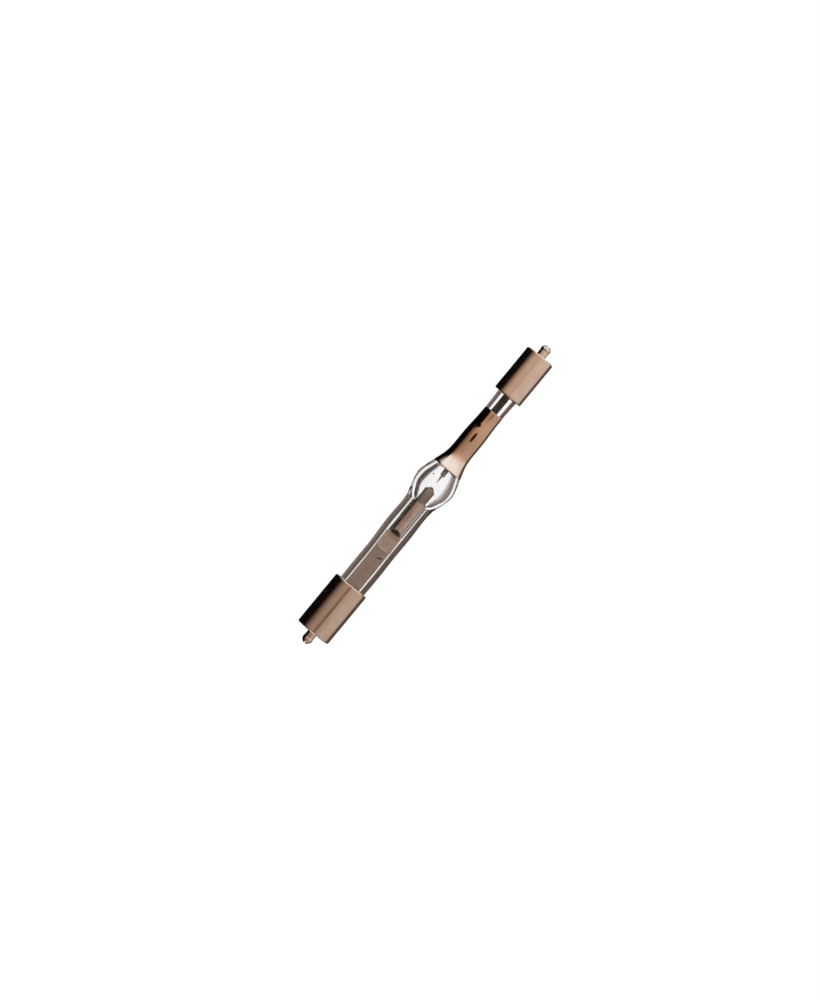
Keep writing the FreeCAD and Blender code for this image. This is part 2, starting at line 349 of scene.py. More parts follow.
class Signal:
    """A node's output that takes part in Python arithmetic by adding Math nodes."""

    def __init__(self, bench: NodeBench, socket: Socket) -> None:
        """Wraps a socket of the bench's node tree."""
        self.bench = bench
        self.socket = socket

    def math(self, operation: str, *others: Signal | float) -> Signal:
        """Adds one Math node.

        Args:
            operation: the node's operation.
            others: what follows this signal in it.

        Returns:
            The node's result.
        """
        return self.bench.calculate(operation, self, *others)

    def __add__(self, other: Signal | float) -> Signal:
        """This plus other."""
        return self.math("ADD", other)

    __radd__ = __add__

    def __sub__(self, other: Signal | float) -> Signal:
        """This minus other."""
        return self.math("SUBTRACT", other)

    def __rsub__(self, other: float) -> Signal:
        """Other minus this."""
        return self.bench.calculate("SUBTRACT", other, self)

    def __mul__(self, other: Signal | float) -> Signal:
        """This times other."""
        return self.math("MULTIPLY", other)

    __rmul__ = __mul__

    def __truediv__(self, other: Signal | float) -> Signal:
        """This divided by other."""
        return self.math("DIVIDE", other)

    def squared(self) -> Signal:
        """This times itself."""
        return self.math("MULTIPLY", self)


class NodeBench:
    """Builds one node tree."""

    def __init__(self, tree: bpy.types.NodeTree) -> None:
        """Empties a tree and starts on it."""
        self.tree = tree
        tree.nodes.clear()

    def node(
        self,
        kind: str,
        settings: dict[str, object] | None = None,
        sockets: dict[str | int, object] | None = None,
    ) -> bpy.types.Node:
        """Adds a node.

        Args:
            kind: the node's type.
            settings: its own properties, which are set first.
            sockets: the value or the link of each input, by name or number.

        Returns:
            The node.
        """
        made = self.tree.nodes.new(kind)
        for key, value in (settings or {}).items():
            setattr(made, key, value)
        for key, value in (sockets or {}).items():
            if isinstance(value, Signal):
                value = value.socket
            if isinstance(value, Socket):
                self.tree.links.new(value, made.inputs[key])
            else:
                made.inputs[key].default_value = value
        return made

    def signal(self, kind: str, output: str | int, *parts: dict) -> Signal:
        """Adds a node and gives one of its outputs as a signal."""
        return Signal(self, self.node(kind, *parts).outputs[output])

    def calculate(self, operation: str, *values: Signal | float) -> Signal:
        """Adds a Math node of an operation on values."""
        return self.signal("ShaderNodeMath", 0, {"operation": operation}, dict(enumerate(values)))

    def place(self) -> Socket:
        """The place on the piece.

        Returns:
            Its X, Y and Z in millimetres.
        """
        where = self.node("ShaderNodeTexCoord").outputs["Object"]
        scaled = self.node("ShaderNodeVectorMath", {"operation": "SCALE"}, {0: where, "Scale": 1 / MM})
        return scaled.outputs[0]

    def parts(self, vector: Socket) -> list[Signal]:
        """The X, Y and Z of a vector."""
        made = self.node("ShaderNodeSeparateXYZ", None, {0: vector})
        return [Signal(self, output) for output in made.outputs]

    def vector(self, x: Signal | float, y: Signal | float, z: Signal | float) -> Socket:
        """A vector of three values."""
        return self.node("ShaderNodeCombineXYZ", None, {0: x, 1: y, 2: z}).outputs[0]

    def noise(self, where: Socket, size: float, detail: float = 3.0, roughness: float = 0.5) -> Signal:
        """Soft noise from 0 to 1.

        Args:
            where: the place that it reads.
            size: about how wide its blots are.
            detail: how many finer layers it has.
            roughness: how strong those are.

        Returns:
            The noise.
        """
        sockets = {"Vector": where, "Scale": 1 / size, "Detail": detail, "Roughness": roughness}
        return self.signal("ShaderNodeTexNoise", 0, None, sockets)

    def ramp(self, value: Signal, start: float, end: float) -> Signal:
        """A soft step of value, from 0 at start to 1 at end."""
        sockets = {0: value, 1: start, 2: end}
        return self.signal("ShaderNodeMapRange", 0, {"interpolation_type": "SMOOTHSTEP"}, sockets)

    def mix(self, share: Signal | float, first: object, second: object) -> Socket:
        """A colour between two, by share.

        Args:
            share: 0 for the first, 1 for the second.
            first: a colour or a colour's socket.
            second: another.

        Returns:
            The mixed colour.
        """
        colours = {6: rgba(first), 7: rgba(second)}
        made = self.node("ShaderNodeMix", {"data_type": "RGBA"}, {0: share, **colours})
        return made.outputs[2]

    def bump(self, height: Signal, depth: float) -> Socket:
        """A normal that height tilts, where a height of 1 is depth millimetres deep."""
        sockets = {"Height": height, "Distance": depth * MM, "Strength": 1.0}
        return self.node("ShaderNodeBump", None, sockets).outputs[0]

    def shader(self, sockets: dict[str | int, object]) -> Socket:
        """A Principled shader."""
        return self.node("ShaderNodeBsdfPrincipled", None, sockets).outputs[0]

    def blend(self, share: Signal | float, first: object, second: object) -> Socket:
        """A Mix Shader of two shaders."""
        return self.node("ShaderNodeMixShader", None, {0: share, 1: first, 2: second}).outputs[0]

    def output(self, kind: str, surface: Socket) -> None:
        """Ends the tree."""
        self.node(kind, None, {"Surface": surface})


def rgba(colour: object) -> object:
    """A colour with its alpha, or a socket as it is."""
    return (*colour, 1.0) if isinstance(colour, tuple) else colour


def new_material(name: str) -> tuple[Look, NodeBench]:
    """Makes an empty material.

    Args:
        name: its name.

    Returns:
        The material and the bench for its nodes.
    """
    material = bpy.data.materials.new(name)
    material.use_nodes = True
    return material, NodeBench(material.node_tree)


@dataclass(frozen=True)
class DepositAndShade:
    """The thin grey deposit that the arc left on the chamber's wall, and painted shade at the foot of
    the anode's bore.

    The deposit lies on one side of the rear wall. The painted shade lies round the foot of the anode's
    bore, under the anode's rear end, where the gap is in shade. Its side is the share of the wall's
    radius by which the deposit lies towards +X. A reach is a distance from the axis.
    """

    colour: Colour = (0.30, 0.25, 0.22)
    side_begins: float = 0.74
    side_full: float = 0.86
    reach: float = 3.64
    low: float = 39.9
    low_fade: float = 0.7
    high: float = 50.0
    high_fade: float = 0.3
    foot_reach: float = 1.7
    foot_low: float = 29.8
    foot_high: float = 30.2
    foot_fade: float = 0.1
    border: float = 0.05

    def share(self, bench: NodeBench, where: Socket) -> Signal:
        """How much of the deposit and of the painted shade there is at a place.

        Args:
            bench: the material's bench.
            where: the place in millimetres.

        Returns:
            0 for none, 1 for all of it.
        """
        x, y, z = bench.parts(where)
        radius = (x.squared() + y.squared()).math("SQRT")
        side = bench.ramp(x / radius, self.side_begins, self.side_full)
        side *= bench.ramp(y, -SIDE_FADE, SIDE_FADE)
        side *= bench.ramp(radius, self.reach, self.reach - self.border)
        side *= bench.ramp(z, self.low, self.low + self.low_fade)
        side *= bench.ramp(z, self.high, self.high - self.high_fade)
        # painted shade: the same grey round the foot of the anode's bore, under the anode's rear end,
        # stands for the shade in the gap there
        foot = bench.ramp(radius, self.foot_reach, self.foot_reach - self.border)
        foot *= bench.ramp(z, self.foot_low, self.foot_low + self.border)
        foot *= bench.ramp(z, self.foot_high, self.foot_high - self.foot_fade)
        return side + foot


@dataclass(frozen=True)
class QuartzFinish:
    """Clear fused quartz with the faint streaks that drawing it out left."""

    index: float = 1.458
    streak_width: float = 1.1
    streak_length: float = 9.0
    streak_depth: float = 0.004
    tint: Colour = (0.985, 0.98, 0.985)
    deposit_and_shade: DepositAndShade = DepositAndShade()

    def material(self) -> Look:
        """Builds the material, through which the lamps' light passes.

        Returns:
            The material.
        """
        material, bench = new_material("fused_quartz")
        where = bench.place()
        x, y, z = bench.parts(where)
        drawn = bench.vector(x / self.streak_width, y / self.streak_width, z / self.streak_length)
        streaks = bench.noise(drawn, size=1.0, detail=1.0)
        glass = bench.shader({
            # the grey mixed in is the wall's deposit, and painted shade round the foot of the anode's
            # bore
            "Base Color": bench.mix(self.deposit_and_shade.share(bench, where), self.tint, self.deposit_and_shade.colour),
            "Roughness": 0.0,
            "IOR": self.index,
            "Transmission Weight": 1.0,
            "Normal": bench.bump(streaks, self.streak_depth),
        })
        clear = bench.node("ShaderNodeBsdfTransparent").outputs[0]
        shadow = bench.signal("ShaderNodeLightPath", "Is Shadow Ray")
        bench.output("ShaderNodeOutputMaterial", bench.blend(shadow, glass, clear))
        return material


@dataclass(frozen=True)
class Heated:
    """How heat has changed a metal along the lamp, fully beyond one height and not at all at another."""

    none_at: float
    full_at: float
    colour: Colour
    roughness: float
    patch_size: float = 1.2

    def share(self, bench: NodeBench, where: Socket) -> Signal:
        """How much of the change there is at a place, with an uneven border.

        Args:
            bench: the material's bench.
            where: the place in millimetres.

        Returns:
            0 for none, 1 for all of it.
        """
        _, _, z = bench.parts(where)
        uneven = (bench.noise(where, self.patch_size) - 0.5) * (self.full_at - self.none_at)
        return bench.ramp(z + uneven, self.none_at, self.full_at)


@dataclass(frozen=True)
class Mark:
    """A soft oval mark on the front of a piece, with its place and its half-sizes in X and Z.

    The tilt is in degrees, from X towards Z.
    """

    x: float
    z: float
    half_length: float
    half_width: float
    colour: Colour
    tilt: float = 0.0
    softness: float = 0.35

    def share(self, bench: NodeBench, where: Socket) -> Signal:
        """How much of the mark shows at a place.

        Args:
            bench: the material's bench.
            where: the place in millimetres.

        Returns:
            0 beside the mark, 1 in its middle.
        """
        x, y, z = bench.parts(where)
        right, up = x - self.x, z - self.z
        cosine, sine = math.cos(math.radians(self.tilt)), math.sin(math.radians(self.tilt))
        along = (right * cosine + up * sine) / self.half_length
        across = (up * cosine - right * sine) / self.half_width
        oval = along.squared() + across.squared()
        return bench.ramp(oval, 1 + self.softness, 1 - self.softness) * bench.ramp(y, 0.0, -SIDE_FADE)


@dataclass(frozen=True)
class MetalFinish:
    """A metal surface: its colour, how clean it is, and the lines that making it left.

    Drawn and rolled lines are so many times longer than they are wide.
    """

    name: str
    colour: Colour
    tarnish: Colour
    roughness: float
    grain: Grain
    roughness_spread: float = 0.08
    cloud_size: float = 2.5
    clouds_begin: float = 0.3
    clouds_full: float = 0.75
    line_pitch: float = 0.16
    line_depth: float = 0.0012
    line_spread: float = 0.04
    drawn_length: float = 30.0
    rolled_length: float = 12.0
    wave_size: float = 3.0
    wave_depth: float = 0.0
    heated: Heated | None = None
    marks: tuple[Mark, ...] = ()

    def lines(self, bench: NodeBench, where: Socket) -> Signal:
        """The fine lines, as a height from 0 to 1.

        Args:
            bench: the material's bench.
            where: the place in millimetres.

        Returns:
            The height.
        """
        x, y, z = bench.parts(where)
        pitch = self.line_pitch
        if self.grain is Grain.TURNED:
            return bench.noise(bench.vector(0.0, 0.0, z / pitch), size=1.0, detail=2.0)
        if self.grain is Grain.DRAWN:
            drawn = bench.vector(x / pitch, y / pitch, z / (pitch * self.drawn_length))
            return bench.noise(drawn, size=1.0, detail=2.0)
        if self.grain is Grain.ROLLED:
            rolled = bench.vector(x / pitch, y / pitch, z / (pitch * self.rolled_length))
            return bench.noise(rolled, size=1.0)
        return bench.noise(where, pitch, detail=2.0)

    def surface(self, bench: NodeBench) -> tuple[Socket, Signal, Socket]:
        """Builds what the metal's shader reads.

        Args:
            bench: the material's bench.

        Returns:
            The colour, the roughness and the normal.
        """
        where = bench.place()
        clouds = bench.noise(where, self.cloud_size, detail=4.0, roughness=0.6)
        clouds = bench.ramp(clouds, self.clouds_begin, self.clouds_full)
        lines = self.lines(bench, where)
        waves = bench.noise(where, self.wave_size, detail=1.0)
        colour = bench.mix(clouds, self.colour, self.tarnish)
        roughness = self.roughness + clouds * self.roughness_spread
        roughness += (lines - 0.5) * self.line_spread
        relief = lines + waves * (self.wave_depth / self.line_depth)
        if self.heated:
            share = self.heated.share(bench, where)
            colour = bench.mix(share, colour, self.heated.colour)
            roughness = roughness + share * (self.heated.roughness - self.roughness)
        # marks are painted on the colour; some are the metal's own, and others are painted shade, a
        # painted shadow and painted reflections
        for mark in self.marks:
            colour = bench.mix(mark.share(bench, where), colour, mark.colour)
        return colour, roughness, bench.bump(relief, self.line_depth)

    def material(self) -> Look:
        """Builds the material.

        Returns:
            The material.
        """
        material, bench = new_material(self.name)
        colour, roughness, normal = self.surface(bench)
        metal = bench.shader({
            "Base Color": colour,
            "Metallic": 1.0,
            "Roughness": roughness,
            "Normal": normal,
        })
        bench.output("ShaderNodeOutputMaterial", metal)
        return material


@dataclass(frozen=True)
class CementFinish:
    """Off-white heat-proof cement with a grainy skin."""

    colour: Colour = (0.62, 0.57, 0.51)
    stain: Colour = (0.34, 0.28, 0.23)
    grain_size: float = 0.12
    grain_depth: float = 0.03
    stain_size: float = 1.4
    stains_begin: float = 0.45
    stains_full: float = 0.75
    roughness: float = 0.8
    roughness_spread: float = 0.2

    def material(self) -> Look:
        """Builds the material.

        Returns:
            The material.
        """
        material, bench = new_material("cement")
        where = bench.place()
        grains = bench.noise(where, self.grain_size, roughness=0.7)
        stains = bench.ramp(bench.noise(where, self.stain_size), self.stains_begin, self.stains_full)
        cement = bench.shader({
            "Base Color": bench.mix(stains, self.colour, self.stain),
            "Roughness": self.roughness + (grains - 0.5) * self.roughness_spread,
            "Normal": bench.bump(grains, self.grain_depth),
        })
        bench.output("ShaderNodeOutputMaterial", cement)
        return material


CAP_METAL = MetalFinish(
    "plated_cap", (0.84, 0.73, 0.63), (0.76, 0.64, 0.53), 0.13, Grain.TURNED, line_depth=0.0006
)
FILM_METAL = MetalFinish(
    "mirror_film",
    (0.88, 0.79, 0.70),
    (0.84, 0.72, 0.61),
    0.05,
    Grain.DRAWN,
    roughness_spread=0.05,
    line_pitch=0.5,
    line_depth=0.0008,
    wave_size=2.4,
    wave_depth=0.02,
    heated=Heated(52.4, 54.0, (0.64, 0.46, 0.34), 0.06),
    marks=(
        # painted reflections: the dark lens-shaped mark at the film's middle and the narrow brown stripe
        # above it reflect a narrow dark stripe in front of the lamp
        Mark(0.0, 59.0, 0.32, 1.4, (0.04, 0.016, 0.005)),
        Mark(0.3, 65.6, 0.12, 1.2, (0.24, 0.15, 0.08)),
        Mark(-1.15, 64.4, 0.5, 3.4, (0.02, 0.01, 0.008)),
        Mark(-0.85, 62.1, 0.5, 0.5, (0.02, 0.01, 0.008), tilt=30.0),
    ),
)
SOLDER = MetalFinish(
    "solder",
    (0.84, 0.75, 0.66),
    (0.66, 0.54, 0.44),
    0.1,
    Grain.POURED,
    line_pitch=0.5,
    line_depth=0.02,
    cloud_size=0.8,
)
TUNGSTEN = MetalFinish(
    "tungsten",
    (0.70, 0.61, 0.54),
    (0.54, 0.46, 0.40),
    0.22,
    Grain.TURNED,
    line_depth=0.001,
    heated=Heated(39.2, 40.2, (0.40, 0.36, 0.32), 0.6),
    # painted shade: a dark oval on the front of the anode's rear end stands for the shaded gap under the
    # anode
    marks=(Mark(0.25, 29.9, 1.2, 1.1, (0.10, 0.07, 0.055), softness=0.15),),
)
WIRE_TUNGSTEN = MetalFinish(
    "tungsten_wire", (0.52, 0.48, 0.44), (0.36, 0.33, 0.30), 0.3, Grain.DRAWN, line_pitch=0.05
)
MOLYBDENUM = MetalFinish(
    "molybdenum",
    (0.50, 0.45, 0.41),
    (0.42, 0.37, 0.33),
    0.32,
    Grain.ROLLED,
    cloud_size=1.6,
    marks=(Mark(0.84, 23.3, 0.56, 0.19, (0.05, 0.035, 0.025), tilt=33.0),),
)
PLATE_METAL = MetalFinish(
    "molybdenum_plate",
    (0.66, 0.58, 0.52),
    (0.52, 0.44, 0.38),
    0.34,
    Grain.ROLLED,
    cloud_size=1.2,
    marks=(
        Mark(0.25, 25.5, 1.4, 0.13, (0.80, 0.75, 0.64)),
        # painted shadow next: the soft darker oval at the top of the plate, just under the anode
        Mark(0.25, 29.7, 1.5, 0.9, (0.46, 0.40, 0.34), softness=0.8),
        Mark(0.25, 27.2, 0.2, 0.2, (0.44, 0.30, 0.24), softness=0.6),
    ),
)
# painted shade: a darker copy of the foil's molybdenum, for the cathode's foil
SHADED_FOIL = MetalFinish(
    "molybdenum_painted_shade", (0.50, 0.39, 0.32), (0.40, 0.30, 0.25), 0.3, Grain.ROLLED, cloud_size=1.6
)
MERCURY = MetalFinish(
    "mercury", (0.62, 0.60, 0.58), (0.50, 0.48, 0.46), 0.02, Grain.POURED, line_depth=0.0005
)


@dataclass
class QuartzEnvelope:
    """The blown quartz body: two drawn stems, the bulb and the arc chamber inside it.

    A flank or a row of waves lists how far each of its points lies outside a radius, and how far
    it lies from the bulb's middle height.
    """

    look: Look
    bulb_height: float = 45.3
    bulb_radius: float = 5.097
    anode_stem_radius: float = 3.52
    cathode_stem_radius: float = 2.62
    end_rounding: float = 0.7
    shoulder: Point = (3.64, 6.1)
    anode_waves: tuple[Point, ...] = (
        (0.0, 30.5), (0.04, 25.6), (-0.02, 20.4), (0.06, 17.3), (0.15, 14.3), (0.09, 11.3), (0.0, 8.6)
    )
    anode_flank: tuple[Point, ...] = ((-0.71, 3.7), (-0.2, 1.8), (0.0, 0.0))
    cathode_flank: tuple[Point, ...] = (
        (-0.44, 1.9), (-1.05, 3.8), (-1.68, 5.7), (-2.19, 7.6), (-2.39, 10.3), (-2.4, 14.6)
    )
    cathode_waves: tuple[Point, ...] = ((-0.1, 17.8), (-0.14, 22.5), (-0.02, 25.8))
    chamber_radius: float = 3.37
    chamber_low: float = 5.9
    chamber_anode_flank: tuple[Point, ...] = ((-1.5, 5.3), (-0.735, 3.8), (-0.235, 2.6), (0.0, 0.9))
    chamber_cathode_flank: tuple[Point, ...] = (
        (-0.27, 0.9), (-0.66, 2.2), (-1.125, 3.65), (-1.77, 5.0), (-2.59, 6.0)
    )
    chamber_high: float = 6.3
    bore_clearance: float = 0.14
    foot_clearance: float = 0.03
    foot_rounding: float = 0.12
    seal_overlap: float = 0.02
    bore_rows: int = 20
    stem_rows: int = 24
    spacing: float = 0.35

    def __post_init__(self) -> None:
        """Reads the ends of the body and the metal that it holds from the frame."""
        body = NodeBox.of("quartz_envelope")
        self.low_end, self.high_end = body.low.z, body.high.z
        self.anode = NodeBox.of("anode")
        self.rod_radius = NodeBox.of("cathode").radius

    def below(self, radius: float, offsets: Sequence[Point]) -> Outline:
        """Points under the bulb's middle, from their offsets to a radius."""
        return [(radius + grown, self.bulb_height - away) for grown, away in offsets]

    def above(self, radius: float, offsets: Sequence[Point]) -> Outline:
        """Points over the bulb's middle, from their offsets to a radius."""
        return [(radius + grown, self.bulb_height + away) for grown, away in offsets]

    def outside(self) -> Outline:
        """The side of the body from its low end to its high end.

        Returns:
            Its points.
        """
        shoulder = (self.shoulder[0], self.bulb_height - self.shoulder[1])
        stem = self.below(self.anode_stem_radius, self.anode_waves)
        bulb = self.below(self.bulb_radius, self.anode_flank)
        bulb += self.above(self.bulb_radius, self.cathode_flank)
        bulb += self.above(self.cathode_stem_radius, self.cathode_waves)
        low_side = self.low_end + self.end_rounding
        heights = np.linspace(low_side, stem[0][1], self.stem_rows)[:-1]
        side = [(self.anode_stem_radius, float(height)) for height in heights]
        side += smooth_curve(stem + [shoulder], self.spacing)
        side += smooth_curve([shoulder] + bulb, self.spacing)[1:]
        side += [(self.cathode_stem_radius, self.high_end - self.end_rounding)]
        return side

    def radii_at(self, heights: list[float]) -> list[float]:
        """The radii of the outside at heights."""
        side = self.outside()
        return np.interp(heights, [z for _, z in side], [radius for radius, _ in side]).tolist()

    def chamber(self) -> Outline:
        """The wall of the arc chamber from the foot of the anode's bore to the cathode's rod.

        Returns:
            Its points, from axis to axis.
        """
        bore = self.anode.radius + self.bore_clearance
        foot = self.anode.low.z - self.foot_clearance
        wall = [(bore, self.bulb_height - self.chamber_low)]
        wall += self.below(self.chamber_radius, self.chamber_anode_flank)
        wall += self.above(self.chamber_radius, self.chamber_cathode_flank)
        wall.append((self.rod_radius - self.seal_overlap, self.bulb_height + self.chamber_high))
        rounding = quarter_round(
            (bore - self.foot_rounding, foot), (bore, foot + self.foot_rounding), steps=4
        )
        bore_side = [(bore, height) for height in np.linspace(foot, wall[0][1], self.bore_rows)[1:-1]]
        curve = smooth_curve(wall, self.spacing / 2)
        return [(0.0, foot)] + rounding + bore_side + curve + [(0.0, wall[-1][1])]

    def build(self) -> None:
        """Makes the body, with the chamber as a closed hollow in it."""
        low_rim = (self.anode_stem_radius - self.end_rounding, self.low_end)
        high_rim = (self.cathode_stem_radius - self.end_rounding, self.high_end)
        side = self.outside()
        high_round = quarter_round(high_rim, side[-1])
        outline = [(0.0, self.low_end)] + quarter_round(low_rim, side[0]) + side[1:-1]
        outline += high_round[::-1] + [(0.0, self.high_end)]
        body = turned(outline)
        STEM_LEAN.apply(body)
        hollow = turned(self.chamber())
        CHAMBER_LEAN.apply(hollow)
        bmesh.ops.reverse_faces(hollow, faces=hollow.faces[:])
        joined = bpy.data.meshes.new("hollow")
        hollow.to_mesh(joined)
        hollow.free()
        body.from_mesh(joined)
        bpy.data.meshes.remove(joined)
        add_piece(body, "quartz_body", self.look, "quartz_envelope")


@dataclass
class HeatFilm:
    """The mirror-like metal film on the bulb's cathode side and on its stem."""

    look: Look
    quartz: QuartzEnvelope
    thickness: float = 0.05
    sunk: float = 0.01
    feather: float = 0.35
    feather_rim: float = 0.008
    rows: int = 260

    def build(self) -> None:
        """Makes the film, with its inner face in close touch with the quartz."""
        box = NodeBox.of("heat_film")
        heights = np.linspace(box.low.z, box.high.z, self.rows).tolist()
        outer, inner = [], []
        for z, radius in zip(heights, self.quartz.radii_at(heights)):
            share = soft_step(min(z - box.low.z, box.high.z - z) / self.feather)
            skin = self.feather_rim + (self.thickness - self.feather_rim) * share
            outer.append((radius + skin, z))
            inner.append((radius - self.sunk, z))
        shape = turned(outer + inner[::-1], closed=True)
        add_piece(shape, "mirror_film", self.look, "heat_film")


@dataclass
class Electrodes:
    """The heavy anode on its shank, and the pointed cathode with its coil."""

    body_look: Look
    wire_look: Look
    anode_cone: float = 1.05
    anode_tip_radius: float = 0.28
    anode_rounding: float = 0.1
    anode_rows: int = 24
    rear_flat_height: float = 1.05
    rear_flat_depth: float = 0.8
    shank_rounding: float = 0.06
    cathode_point: float = 2.3
    cathode_tip_radius: float = 0.05
    wire_radius: float = 0.12
    coil_turns: int = 12
    steps_per_turn: int = 40
    wire_facets: int = 14

    def build(self) -> None:
        """Makes the four pieces."""
        self.build_anode()
        self.build_shank()
        self.build_cathode()
        self.build_coil()

    def build_anode(self) -> None:
        """Makes the anode, with its blunt cone at the arc."""
        box = NodeBox.of("anode")
        side = np.linspace(box.low.z, box.high.z - self.anode_cone, self.anode_rows)
        shape = turned(
            [(0.0, box.low.z)]
            + [(box.radius, float(height)) for height in side]
            + [(self.anode_tip_radius, box.high.z), (0.0, box.high.z)]
        )
        self.grind_rear_flat(shape, box)
        soften(shape, self.anode_rounding)
        STEM_LEAN.apply(shape)
        add_piece(shape, "anode_body", self.body_look, "anode")

    def grind_rear_flat(self, shape: Shape, box: NodeBox) -> None:
        """Cuts the slanting flat on the front of the anode's rear end.

        Args:
            shape: the anode's mesh.
            box: the anode's box.
        """
        bmesh.ops.bisect_plane(
            shape,
            geom=everything(shape),
            dist=MERGE_DISTANCE,
            plane_co=(0.0, -box.radius, box.low.z + self.rear_flat_height),
            plane_no=(0.0, -self.rear_flat_height, -self.rear_flat_depth),
            clear_outer=True,
        )
        close_holes(shape)

    def build_shank(self) -> None:
        """Makes the part of the shank that stands out behind the anode."""
        shape = plain_rod(NodeBox.of("anode_shank"), self.shank_rounding)
        STEM_LEAN.apply(shape)
        add_piece(shape, "anode_shank_rod", self.wire_look, "anode_shank")

    def build_cathode(self) -> None:
        """Makes the cathode's rod with its long point."""
        box = NodeBox.of("cathode")
        shape = turned([
            (0.0, box.low.z),
            (self.cathode_tip_radius, box.low.z),
            (box.radius, box.low.z + self.cathode_point),
            (box.radius, box.high.z),
            (0.0, box.high.z),
        ], steps=ROD_STEPS)
        add_piece(shape, "cathode_rod", self.wire_look, "cathode")

    def build_coil(self) -> None:
        """Winds the wire round the cathode as one helix with closed ends."""
        box = NodeBox.of("cathode_coil")
        helix_radius = box.radius - self.wire_radius
        rise = box.high.z - box.low.z - 2 * self.wire_radius
        steps = self.coil_turns * self.steps_per_turn
        shape = bmesh.new()
        ring = bmesh.ops.create_circle(shape, radius=self.wire_radius, segments=self.wire_facets)
        upright = Matrix.Rotation(math.pi / 2, 4, "X")
        start = Matrix.Translation((helix_radius, 0.0, box.low.z + self.wire_radius))
        bmesh.ops.transform(shape, matrix=start @ upright, verts=ring["verts"])
        bmesh.ops.spin(
            shape,
            geom=shape.verts[:] + shape.edges[:],
            cent=ORIGIN,
            axis=AXIS,
            dvec=(0.0, 0.0, rise / steps),
            angle=math.tau * self.coil_turns,
            steps=steps,
            use_merge=False,
            use_duplicate=False,
        )
        close_holes(shape)
        add_piece(shape, "cathode_winding", self.wire_look, "cathode_coil")


@dataclass
class SealedFoils:
    """The flat foils sealed in the stems, the plate on the anode's foil, and the outer leads.

    The cathode's foil is turned about the lamp's axis, in degrees, and lies to one side of its weld.
    """

    foil_look: Look
    # painted shade: the darker copy of the molybdenum, for the cathode's foil
    shaded_foil_look: Look
    plate_look: Look
    lead_look: Look
    corner: float = 0.45
    feather: float = 0.3
    thickness: float = 0.04
    anode_foil_width: float = 2.95
    foil_rows: int = 30
    cathode_foil_width: float = 1.8
    cathode_turn: float = -42.0
    cathode_aside: float = 0.38
    plate_sag: float = 0.28
    plate_steps: int = 24
    plate_clearance: float = 0.015
    plate_rounding: float = 0.03
    lead_rounding: float = 0.05

    def build(self) -> None:
        """Makes the five pieces."""
        shank = NodeBox.of("anode_shank").radius
        rod = NodeBox.of("cathode").radius
        self.build_foil("anode_foil", self.foil_look, self.anode_foil_width, shank)
        self.build_foil(
            "cathode_foil",
            self.shaded_foil_look,
            self.cathode_foil_width,
            rod,
            self.cathode_aside,
            self.cathode_turn,
        )
        self.build_plate()
        for end in LampEnd:
            self.build_lead(end)

    def build_foil(
        self,
        node: str,
        look: Look,
        width: float,
        near: float,
        aside: float = 0.0,
        turn: float = 0.0,
    ) -> None:
        """Makes a foil whose edges thin out, as etched sealing foil does.

        Args:
            node: the node that it stands for.
            look: its material.
            width: its width.
            near: the distance of its rear face from the lamp's axis.
            aside: how far its middle lies beside its weld.
            turn: its turn about the axis, in degrees.
        """
        box = NodeBox.of(node)
        side = width / 2
        shape = bmesh.new()
        outline = [(-side, box.low.z), (side, box.low.z), (side, box.high.z), (-side, box.high.z)]
        shape.faces.new([shape.verts.new((x, 0.0, z)) for x, z in outline])
        bmesh.ops.bevel(
            shape,
            geom=shape.verts[:],
            offset=self.corner,
            offset_type="OFFSET",
            segments=8,
            profile=0.5,
            affect="VERTICES",
            material=-1,
        )
        rim = set(shape.verts)
        bmesh.ops.inset_region(
            shape, faces=shape.faces[:], thickness=self.feather, use_even_offset=True, use_boundary=True
        )
        middle = [vert for vert in shape.verts if vert not in rim]
        bmesh.ops.translate(shape, vec=(0.0, -self.thickness / 2, 0.0), verts=middle)
        bmesh.ops.mirror(
            shape,
            geom=everything(shape),
            matrix=Matrix.Identity(4),
            merge_dist=MERGE_DISTANCE,
            axis="Y",
        )
        bmesh.ops.recalc_face_normals(shape, faces=shape.faces[:])
        for height in np.linspace(box.low.z, box.high.z, self.foil_rows)[1:-1]:
            bmesh.ops.bisect_plane(
                shape,
                geom=everything(shape),
                plane_co=(0.0, 0.0, float(height)),
                plane_no=AXIS,
            )
        away = Matrix.Translation((aside, -near - self.thickness / 2, 0.0))
        spun = Matrix.Rotation(math.radians(turn), 4, "Z")
        bmesh.ops.transform(shape, matrix=spun @ away, verts=shape.verts[:])
        STEM_LEAN.apply(shape)
        add_piece(shape, f"{node}_strip", look, node)

    def build_plate(self) -> None:
        """Makes the plate from just under the anode's bore down to a lower edge in a shallow curve."""
        box = NodeBox.of("anode_foil_plate")
        side = box.radius
        top = NodeBox.of("anode").low.z - QuartzEnvelope.foot_clearance - self.plate_clearance
        shares = np.linspace(-1, 1, self.plate_steps + 1).tolist()
        lower = [(side * share, box.low.z + self.plate_sag * share**2) for share in shares]
        outline = lower + [(side, top), (-side, top)]
        shape = bmesh.new()
        face = shape.faces.new([shape.verts.new((x, box.high.y, z)) for x, z in outline])
        pulled = bmesh.ops.extrude_face_region(shape, geom=[face])
        front = [item for item in pulled["geom"] if isinstance(item, bmesh.types.BMVert)]
        bmesh.ops.translate(shape, vec=(0.0, box.low.y - box.high.y, 0.0), verts=front)
        bmesh.ops.recalc_face_normals(shape, faces=shape.faces[:])
        soften(shape, self.plate_rounding, segments=2)
        STEM_LEAN.apply(shape)
        add_piece(shape, "anode_weld_plate", self.plate_look, "anode_foil_plate")

    def build_lead(self, end: LampEnd) -> None:
        """Makes the outer lead of one end.

        Args:
            end: the lamp's end.
        """
        node = f"{end.value}_lead"
        shape = plain_rod(NodeBox.of(node), self.lead_rounding)
        add_piece(shape, f"{node}_rod", self.lead_look, node)


@dataclass(frozen=True)
class Terminal:
    """The tube that stands out from a cap's outer face."""

    radius: float
    length: float


